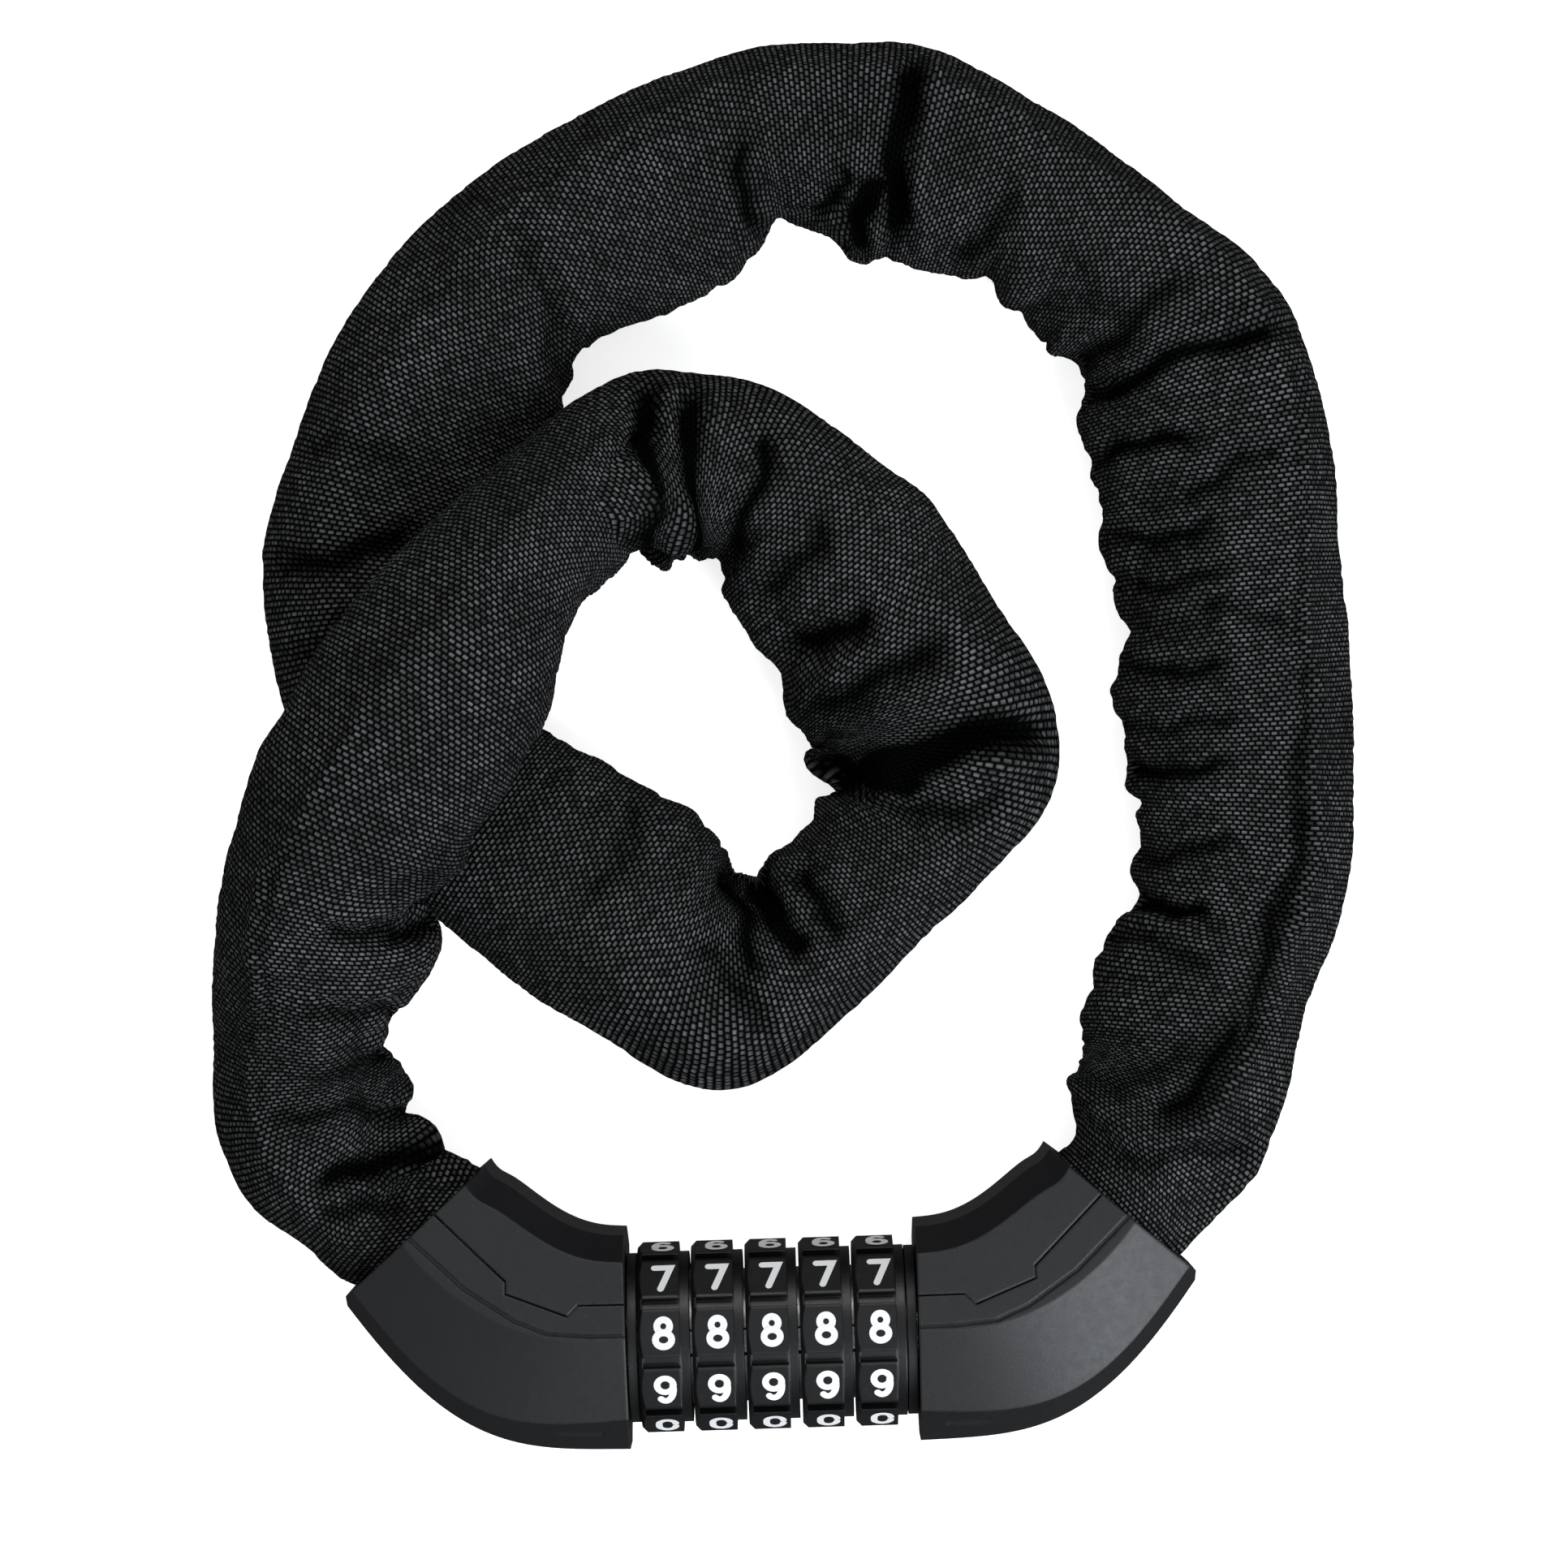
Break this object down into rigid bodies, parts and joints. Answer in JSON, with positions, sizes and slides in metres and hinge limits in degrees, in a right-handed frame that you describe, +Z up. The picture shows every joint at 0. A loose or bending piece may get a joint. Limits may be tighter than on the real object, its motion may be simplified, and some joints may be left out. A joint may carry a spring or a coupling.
{
  "type": "chain lock",
  "caption": "Combination chain lock: a dial stack holds a sliding bolt head, and a steel chain in a fabric sleeve joins both ends of the lock.",
  "frame": {"origin": "on the surface the lock lies on, under the middle of the lock body", "axes": "+X along the dial axis towards the bolt head, +Y towards the chain's loop, +Z up"},
  "size_m": [0.1539, 0.1872, 0.0427],
  "materials": {
    "housing": "satin moulded plastic",
    "dial": "satin moulded plastic with white digits",
    "trim": "satin moulded plastic",
    "block": "cast, machined at the bores",
    "ring": "turned",
    "steel": "ground",
    "chain": "zinc plated",
    "sleeve": "coarse woven nylon sleeve"
  },
  "bodies": {
    "lock_body": {"lock_inner_shell": "housing", "lock_outer_shell": "housing", "lock_core_block": "block", "lock_chain_pin": "steel", "spindle_tube": "steel", "spindle_pin": "steel", "dial_spacers": "ring", "start_collar": "trim", "end_collar": "trim", "click_spring": "steel", "lock_end_link": "chain", "chain_links": "chain", "sleeve": "sleeve"},
    "dial_body_1": {"dial_1": "dial", "code_ring_1": "ring"},
    "dial_body_2": {"dial_2": "dial", "code_ring_2": "ring"},
    "dial_body_3": {"dial_3": "dial", "code_ring_3": "ring"},
    "dial_body_4": {"dial_4": "dial", "code_ring_4": "ring"},
    "dial_body_5": {"dial_5": "dial", "code_ring_5": "ring"},
    "bolt_head": {"bolt_inner_shell": "housing", "bolt_outer_shell": "housing", "bolt_core_block": "block", "bolt_chain_pin": "steel", "bolt_rod": "steel", "bolt_rod_pin": "steel"},
    "chain_strand": {"bolt_end_link": "chain", "strand_links": "chain", "sleeve_strand": "sleeve"}
  },
  "joints": [
    {"name": "dial_1_turn", "type": "hinge", "parent": "lock_body", "child": "dial_body_1", "pos_m": [0, -0.00485, 0.0135], "axis": [1, 0, 0], "continuous": true},
    {"name": "dial_2_turn", "type": "hinge", "parent": "lock_body", "child": "dial_body_2", "pos_m": [0, -0.00485, 0.0135], "axis": [1, 0, 0], "continuous": true},
    {"name": "dial_3_turn", "type": "hinge", "parent": "lock_body", "child": "dial_body_3", "pos_m": [0, -0.00485, 0.0135], "axis": [1, 0, 0], "continuous": true},
    {"name": "dial_4_turn", "type": "hinge", "parent": "lock_body", "child": "dial_body_4", "pos_m": [0, -0.00485, 0.0135], "axis": [1, 0, 0], "continuous": true},
    {"name": "dial_5_turn", "type": "hinge", "parent": "lock_body", "child": "dial_body_5", "pos_m": [0, -0.00485, 0.0135], "axis": [1, 0, 0], "continuous": true},
    {"name": "bolt_slide", "type": "slide", "parent": "lock_body", "child": "bolt_head", "axis": [1, 0, 0], "range_m": [0, 0.04]},
    {"name": "strand_swing", "type": "hinge", "parent": "lock_body", "child": "chain_strand", "pos_m": [0.06084, 0.12079, 0.0106], "axis": [0, 0, 1], "range_deg": [0, 20.1]}
  ],
  "couplings": [
    {"joint": "strand_swing", "follows": "bolt_slide", "rad_per_m": 8.735}
  ]
}
